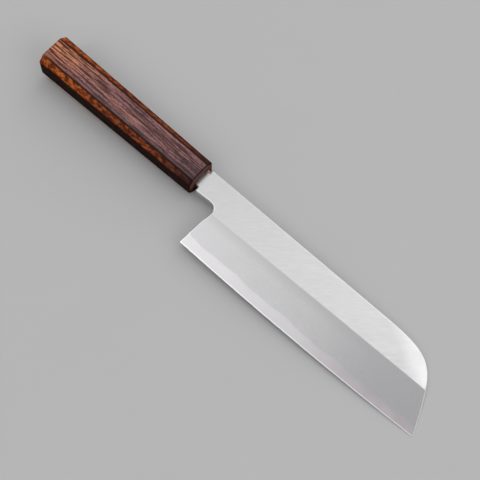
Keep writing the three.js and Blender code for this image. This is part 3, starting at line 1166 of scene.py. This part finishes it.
# %% [markdown]
# ## Wood
#
# Wood looks right when its pattern runs through the solid, so that a line on one facet carries on
# round the corner. Growth rings are sheets that lie nearly upright along the handle: where a facet
# cuts across them it shows straight streaks, and where it runs along them it shows a broken,
# mottled figure. A sine of the distance across the sheets gives rings that are even enough, once
# its phase is shifted by noise, and fine drawn-out noise breaks them into fibres. One group makes
# rings, figure and pores for the oak and for the wedge.

# %% Wood figure
WANDER_LENGTH = 60 * MM
WANDER_WIDTH = 9 * MM
SHIFT_LENGTH = 120 * MM
SHIFT_DEPTH = 30 * MM
FIBRE_LENGTH = 14 * MM
FIBRE_DEPTH = 6 * MM
FIGURE_SIZE = (3.8 * MM, 2.2 * MM, 2.4 * MM)
PORE_SIZE = (2.6 * MM, 0.6 * MM, 0.6 * MM)
STREAK_RANGE = (0.33, 0.67)
FIGURE_RANGE = (0.38, 0.62)
PORE_RANGE = (0.5, 0.66)
NOISE_MEAN = 0.5

# Measured in ring spacings
SHIFT_WIDTH = 1.2
SHIFT_OF_RINGS = 3.0
FIBRE_WIDTH = 0.3

# How strongly the rings show beside the fibres
RING_STRENGTH = 0.12

wood, given, end = new_group(
    "wood_figure",
    {"Place": "Vector", "Log Place": "Float", "Ring Spacing": "Float", "Drift": "Float", "Wander": "Float"},
    {"Ring": "Float", "Streaks": "Float", "Figure": "Float", "Pores": "Float"},
)
axes = add(wood, "ShaderNodeSeparateXYZ", Vector=given["Place"]).outputs
spacing = given["Ring Spacing"]
waved = stretched(wood, given["Place"], WANDER_LENGTH, WANDER_WIDTH, WANDER_WIDTH)
wave = calc(wood, "SUBTRACT", noise(wood, waved, detail=2.0, roughness=0.5), NOISE_MEAN)
wander = calc(wood, "MULTIPLY", wave, given["Wander"])
ring = calc(wood, "ADD", calc(wood, "MULTIPLY_ADD", axes["X"], given["Drift"], axes["Y"]), wander)
log_x = calc(wood, "ADD", axes["X"], given["Log Place"])
ring_place = add(wood, "ShaderNodeCombineXYZ", X=log_x, Y=ring, Z=axes["Z"]).outputs[0]

shift_width = calc(wood, "MULTIPLY", spacing, SHIFT_WIDTH)
shifted = stretched(wood, ring_place, SHIFT_LENGTH, shift_width, SHIFT_DEPTH)
shift = noise(wood, shifted, detail=1.0, roughness=0.5)
turns = calc(wood, "MULTIPLY_ADD", shift, SHIFT_OF_RINGS, calc(wood, "DIVIDE", ring, spacing))
bands = calc(wood, "SINE", calc(wood, "MULTIPLY", turns, 2 * math.pi))
fibre_width = calc(wood, "MULTIPLY", spacing, FIBRE_WIDTH)
drawn_out = stretched(wood, ring_place, FIBRE_LENGTH, fibre_width, FIBRE_DEPTH)
fibres = noise(wood, drawn_out, detail=0.0, roughness=0.5)
streaks = calc(wood, "MULTIPLY_ADD", bands, RING_STRENGTH, fibres)
figure = noise(wood, stretched(wood, ring_place, *FIGURE_SIZE), detail=3.0, roughness=0.6)
pores = noise(wood, stretched(wood, ring_place, *PORE_SIZE), detail=0.0, roughness=0.5)
fill(wood, end["Ring"], ring)
fill(wood, end["Streaks"], fade(wood, streaks, *STREAK_RANGE))
fill(wood, end["Figure"], fade(wood, figure, *FIGURE_RANGE))
fill(wood, end["Pores"], fade(wood, pores, *PORE_RANGE))
print("group", wood.name)

# %% [markdown]
# ## Burnt oak
#
# The handle was scorched, brushed and lacquered. The broad facets keep straight grain, orange at
# the butt and plum brown towards the front, with one paler seam that swings gently along them, and
# a painted grey sheen lies on the front half of their edge side. The narrow facets are a deep orange
# brown with dark mottling, with painted shade on the spine side, and painted shade makes the sides
# darkest. The lacquer is a thin clear coat with a satin shine. A painted image could carry the
# colours, but its grain would stop at every corner, so the colours are blended along the handle by
# place and mark.

# %% Colours of the oak
BUTT_LIGHT, BUTT_DARK = (0.72, 0.265, 0.128, 1), (0.104, 0.028, 0.02, 1)
MIDDLE_LIGHT, MIDDLE_DARK = (0.344, 0.167, 0.161, 1), (0.102, 0.05, 0.0508, 1)
FRONT_LIGHT, FRONT_DARK = (0.218, 0.116, 0.122, 1), (0.0696, 0.04, 0.0464, 1)
# Painted sheen: a grey plum on the broad facets towards the front of the edge side
PAINTED_GREY_SHEEN = (0.0704, 0.0488, 0.0568, 1)
BUTT_SEAM, MIDDLE_SEAM = (0.72, 0.336, 0.156, 1), (0.56, 0.232, 0.152, 1)
NARROW_BUTT_LIGHT, NARROW_BUTT_DARK = (0.656, 0.158, 0.0312, 1), (0.168, 0.0336, 0.0096, 1)
NARROW_MIDDLE_LIGHT, NARROW_MIDDLE_DARK = (0.4, 0.096, 0.0312, 1), (0.1, 0.0216, 0.0096, 1)
NARROW_FRONT_LIGHT, NARROW_FRONT_DARK = (0.08, 0.0296, 0.0256, 1), (0.0336, 0.0128, 0.0116, 1)
# Painted shade on the narrow facets of the spine side
SPINE_SIDE_SHADE = (0.08, 0.0144, 0.0024, 1)
# Painted shade: the side facets are as dark as if they lay in shadow
SHADED_SIDE_LIGHT, SHADED_SIDE_DARK = (0.024, 0.0092, 0.0052, 1), (0.0064, 0.0028, 0.002, 1)
BUTT_END_LIGHT, BUTT_END_DARK = (0.24, 0.08, 0.0256, 1), (0.072, 0.02, 0.008, 1)
# Painted shadow: the front end darker below the tang
FRONT_END, FRONT_END_SHADOW = (0.136, 0.0544, 0.04, 1), (0.016, 0.0064, 0.0048, 1)
SCORCHED_LINE = (0.0176, 0.0064, 0.0048, 1)
PORE_BROWN = (0.032, 0.0128, 0.0112, 1)
print("pale grain from", BUTT_LIGHT[:3], "at the butt to", FRONT_LIGHT[:3], "at the front")

# %% Oak on the broad facets
BUTT_SLANT = -1.5
MIDDLE_RANGE = (HANDLE_BUTT - 12 * MM, HANDLE_BUTT + 52 * MM)
FRONT_RANGE = (HANDLE_FRONT - 30 * MM, HANDLE_FRONT + 4 * MM)
SEAM_SWING = 2 * MM
SEAM_WIDTH = 1.9 * MM
SEAM_CORE = 0.2 * SEAM_WIDTH
SEAM_STRENGTH = (0.8, 0.15)
# Where along and across the handle the painted sheen lies, and how strong it is
SHEEN_RANGE_ALONG = (HANDLE_BUTT + 15 * MM, HANDLE_BUTT + 65 * MM)
SHEEN_SHARE = (0.15, 0.6)
SHEEN_SIDE_RANGE = (-2 * MM, -8 * MM)

oak_finish, tree, shader = new_finish("lacquered_oak")
place = own_place(tree)
figured = place_group(
    tree, wood, Place=place, Log_Place=0.4, Ring_Spacing=2.6 * MM, Drift=0.004, Wander=0.7 * MM,
)
axes = add(tree, "ShaderNodeSeparateXYZ", Vector=place).outputs
to_middle = fade(tree, calc(tree, "MULTIPLY_ADD", axes["Y"], BUTT_SLANT, axes["X"]), *MIDDLE_RANGE)
to_front = fade(tree, axes["X"], *FRONT_RANGE)
swing = calc(tree, "COSINE", fade(tree, axes["X"], HANDLE_BUTT, HANDLE_FRONT, 0.0, 2 * math.pi))
from_seam = calc(tree, "ABSOLUTE", calc(tree, "MULTIPLY_ADD", swing, -SEAM_SWING, figured["Ring"]))
seam_strength = fade(tree, axes["X"], HANDLE_BUTT, HANDLE_FRONT, *SEAM_STRENGTH)
seam = calc(tree, "MULTIPLY", seam_strength, fade(tree, from_seam, SEAM_CORE, SEAM_WIDTH, 1.0, 0.0))


def along_handle(middle_share, front_share, butt, middle, front):
    """A colour that changes from the butt over the middle to the front."""
    return blend(tree, front_share, blend(tree, middle_share, butt, middle), front)


light = along_handle(to_middle, to_front, BUTT_LIGHT, MIDDLE_LIGHT, FRONT_LIGHT)
light = blend(tree, seam, light, blend(tree, to_middle, BUTT_SEAM, MIDDLE_SEAM))
dark = along_handle(to_middle, to_front, BUTT_DARK, MIDDLE_DARK, FRONT_DARK)
broad = blend(tree, figured["Streaks"], dark, light)
# Painted sheen that greys the broad facets towards the front on the edge side
painted_sheen_share = fade(tree, axes["X"], *SHEEN_RANGE_ALONG, *SHEEN_SHARE)
painted_sheen_share = calc(tree, "MULTIPLY", painted_sheen_share, fade(tree, axes["Y"], *SHEEN_SIDE_RANGE))
broad = blend(tree, painted_sheen_share, broad, PAINTED_GREY_SHEEN)
print("broad facets:", len(tree.nodes), "nodes so far")

# %% Oak on the narrow facets and the sides
NARROW_MIDDLE_RANGE = (HANDLE_BUTT + 15 * MM, HANDLE_BUTT + 65 * MM)
NARROW_FRONT_RANGE = (HANDLE_FRONT - 38 * MM, HANDLE_FRONT - 2 * MM)
# Where across the handle, and how strongly, painted shade darkens the spine side's narrow facets
SPINE_SIDE_RANGE = (-2 * MM, 2 * MM)
SPINE_SIDE_SHADE_SHARE = 0.27
PORE_SHARE = 0.5

narrow_shares = [fade(tree, axes["X"], *limits) for limits in (NARROW_MIDDLE_RANGE, NARROW_FRONT_RANGE)]
narrow_light = along_handle(*narrow_shares, NARROW_BUTT_LIGHT, NARROW_MIDDLE_LIGHT, NARROW_FRONT_LIGHT)
narrow_dark = along_handle(*narrow_shares, NARROW_BUTT_DARK, NARROW_MIDDLE_DARK, NARROW_FRONT_DARK)
narrow = blend(tree, figured["Figure"], narrow_dark, narrow_light)
# Painted shade that darkens the narrow facets on the spine side
spine_side = calc(tree, "MULTIPLY", fade(tree, axes["Y"], *SPINE_SIDE_RANGE), SPINE_SIDE_SHADE_SHARE)
narrow = blend(tree, spine_side, narrow, SPINE_SIDE_SHADE)
# Painted shade that makes the two side facets darkest
side = blend(tree, figured["Figure"], SHADED_SIDE_DARK, SHADED_SIDE_LIGHT)
narrow = blend(tree, read_mark(tree, "side_facet"), narrow, side)
colour = blend(tree, read_mark(tree, "narrow_facet"), broad, narrow)
colour = blend(tree, calc(tree, "MULTIPLY", figured["Pores"], PORE_SHARE), colour, PORE_BROWN)
print("narrow facets and sides:", len(tree.nodes), "nodes so far")

# %% Ends, corner lines and lacquer
# Heights over which painted shadow darkens the front end below the tang
SHADOW_BELOW_TANG_RANGE = (1 * MM, -4 * MM)
FRONT_END_SHARE = 0.85
CORNER_RANGE = (0.1, 0.95)
CORNER_SHARE = 0.9
OAK_ROUGHNESS = (0.55, 0.42)
LACQUER_BY_FACET = (0.22, 0.07)

# Painted shadow on the front end below the tang
front_colour = blend(tree, fade(tree, axes["Z"], *SHADOW_BELOW_TANG_RANGE), FRONT_END, FRONT_END_SHADOW)
front_share = calc(tree, "MULTIPLY", read_mark(tree, "front_end"), FRONT_END_SHARE)
colour = blend(tree, front_share, colour, front_colour)
butt_colour = blend(tree, figured["Streaks"], BUTT_END_DARK, BUTT_END_LIGHT)
colour = blend(tree, read_mark(tree, "butt_end"), colour, butt_colour)
corner_line = fade(tree, read_mark(tree, "corner_line"), *CORNER_RANGE)
colour = blend(tree, calc(tree, "MULTIPLY", corner_line, CORNER_SHARE), colour, SCORCHED_LINE)
relief = calc(tree, "SUBTRACT", figured["Streaks"], figured["Pores"])
give(
    tree, shader,
    Base_Color=colour,
    Roughness=fade(tree, figured["Streaks"], 0.0, 1.0, *OAK_ROUGHNESS),
    Specular_IOR_Level=0,
    Coat_Weight=fade(tree, read_mark(tree, "narrow_facet"), 0.0, 1.0, *LACQUER_BY_FACET),
    Coat_Roughness=0.28,
    Normal=bump(tree, relief, strength=0.12, distance=0.05 * MM),
)
print("finish", oak_finish.name, "with", len(tree.nodes), "nodes")

# %% [markdown]
# ## Wedge and bedding
#
# The wedge is bare softwood, split along the grain, so it uses the wood group with finer rings and
# pale colours. The bedding is a dull resin with small pits from air that rose while it set. One
# flat colour each would do for such small spots, but from close by it would look like plastic.

# %% Softwood and resin finishes
SOFTWOOD_PALE, SOFTWOOD_DARK = (0.704, 0.592, 0.416, 1), (0.544, 0.376, 0.192, 1)
SOFTWOOD_FLECK = (0.4, 0.248, 0.12, 1)
SOFTWOOD_ROUGHNESS = (0.62, 0.78)
FLECK_SHARE = 0.5
RESIN_BROWN, RESIN_PALE = (0.036, 0.0176, 0.0112, 1), (0.068, 0.036, 0.0224, 1)
RESIN_ROUGHNESS = (0.5, 0.66)

softwood_finish, tree, shader = new_finish("split_softwood")
figured = place_group(
    tree, wood, Place=own_place(tree), Log_Place=0.1, Ring_Spacing=1.3 * MM, Drift=0.02, Wander=0.6 * MM,
)
colour = blend(tree, figured["Streaks"], SOFTWOOD_DARK, SOFTWOOD_PALE)
colour = blend(tree, calc(tree, "MULTIPLY", figured["Pores"], FLECK_SHARE), colour, SOFTWOOD_FLECK)
roughness = fade(tree, figured["Figure"], 0.0, 1.0, *SOFTWOOD_ROUGHNESS)
normal = bump(tree, figured["Streaks"], strength=0.3, distance=0.06 * MM)
give(tree, shader, Base_Color=colour, Roughness=roughness, Normal=normal)

resin_finish, tree, shader = new_finish("set_resin")
hazed = place_group(tree, haze, Place=own_place(tree), Cloud_Size=2.2 * MM, Speckle_Size=0.35 * MM)
colour = blend(tree, hazed["Clouds"], RESIN_BROWN, RESIN_PALE)
roughness = fade(tree, hazed["Speckle"], 0.0, 1.0, *RESIN_ROUGHNESS)
normal = bump(tree, hazed["Speckle"], strength=0.4, distance=0.05 * MM)
give(tree, shader, Base_Color=colour, Roughness=roughness, Normal=normal)
print("finishes", softwood_finish.name, resin_finish.name)

# %% [markdown]
# ## Putting the pieces in the frame
#
# Nothing on this knife moves, so every piece rides on the one body. Each piece stands for one node
# of the imported model, which is hidden, and gets its own finish. Plain parenting to one empty holds
# the pieces.

# %% Ride, replace and finish
DRESSED = (
    (iron, "blade_body", "soft_iron", iron_finish),
    (steel, "edge_steel", "hard_steel", steel_finish),
    (handle, "handle", "burnt_oak", oak_finish),
    (wedge, "tang_wedge", "pale_softwood", softwood_finish),
    (bedding, "tang_bedding", "bedding_resin", resin_finish),
)
for piece, node, slot, finish in DRESSED:
    piece.data.materials.clear()
    piece.data.materials.append(finish)
    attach(piece, "root")
    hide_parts(node)
    print(piece.name, "stands for", node)

# %% [markdown]
# ## Floor
#
# A plain pale board under the knife catches its shadow. The knife could lie on an empty background,
# but it would seem to float. The board is one wide sheet with a faint mottling.

# %% Floor
FLOOR_SIZE = 6.0
FLOOR_GAP = 0.1 * MM
FLOOR_GREY, FLOOR_GREY_CLOUD = (0.58, 0.58, 0.582, 1), (0.586, 0.586, 0.588, 1)

half = FLOOR_SIZE / 2
floor_mesh = bpy.data.meshes.new("floor")
floor_plan = ((-half, -half), (half, -half), (half, half), (-half, half))
floor_mesh.from_pydata([(x, y, -FLOOR_GAP) for x, y in floor_plan], [], [(0, 1, 2, 3)])
floor = bpy.data.objects.new("floor", floor_mesh)
bpy.context.scene.collection.objects.link(floor)
floor_finish, tree, shader = new_finish("floor_board")
hazed = place_group(tree, haze, Place=own_place(tree), Cloud_Size=80 * MM, Speckle_Size=4 * MM)
colour = blend(tree, hazed["Clouds"], FLOOR_GREY, FLOOR_GREY_CLOUD)
give(tree, shader, Base_Color=colour, Roughness=0.85, Specular_IOR_Level=0.2)
floor_mesh.materials.append(floor_finish)
print("floor", FLOOR_SIZE, "m wide")

# %% [markdown]
# ## Light
#
# Steel shows little but what it reflects, so the light is planned by reflections: a high soft patch
# towards the spine fills the flat of the blade, a second one towards the handle fills the bevel
# near the heel, and the even sky between them is dimmer, which greys the bevel towards the tip.
# Three weaker patches stand lower round the knife, for the handle and for other views. Lamps could
# do this, but soft patches in the world give the same without any hard edge.

# %% World with soft patches of light
SKY_AT_HORIZON = 0.4
SKY_OVERHEAD = 0.375
SKY_RANGE = (0.1, 0.75)
WHITE = (1, 1, 1, 1)

# Direction, inner and outer angle in degrees, and strength of each patch
LIGHT_PATCHES = (
    ((0.02, 0.38, 0.92), 6, 17, 1.43),
    ((-0.35, 0.0, 0.94), 8, 17.5, 2.12),
    ((0.15, 0.90, 0.40), 14, 38, 0.94),
    ((0.92, 0.10, 0.38), 12, 38, 1.1),
    ((-0.20, -0.66, 0.72), 8, 22, 1.1),
)

world = bpy.data.worlds.new("studio")
bpy.context.scene.world = world
world.use_nodes = True
tree = world.node_tree
direction = add(tree, "ShaderNodeTexCoord").outputs["Generated"]
height = add(tree, "ShaderNodeSeparateXYZ", Vector=direction).outputs["Z"]
radiance = fade(tree, height, *SKY_RANGE, SKY_AT_HORIZON, SKY_OVERHEAD)
for toward, inner, outer, strength in LIGHT_PATCHES:
    aim = add(tree, "ShaderNodeVectorMath", {"operation": "DOT_PRODUCT"})
    fill(tree, aim.inputs[0], direction)
    fill(tree, aim.inputs[1], Vector(toward).normalized())
    rim, core = (math.cos(math.radians(angle)) for angle in (outer, inner))
    patch = fade(tree, aim.outputs["Value"], rim, core, 0.0, strength)
    radiance = calc(tree, "ADD", radiance, patch)
give(tree, tree.nodes["Background"], Strength=radiance, Color=WHITE)
bpy.context.scene.view_settings.view_transform = "Standard"
print(len(LIGHT_PATCHES), "patches of light")
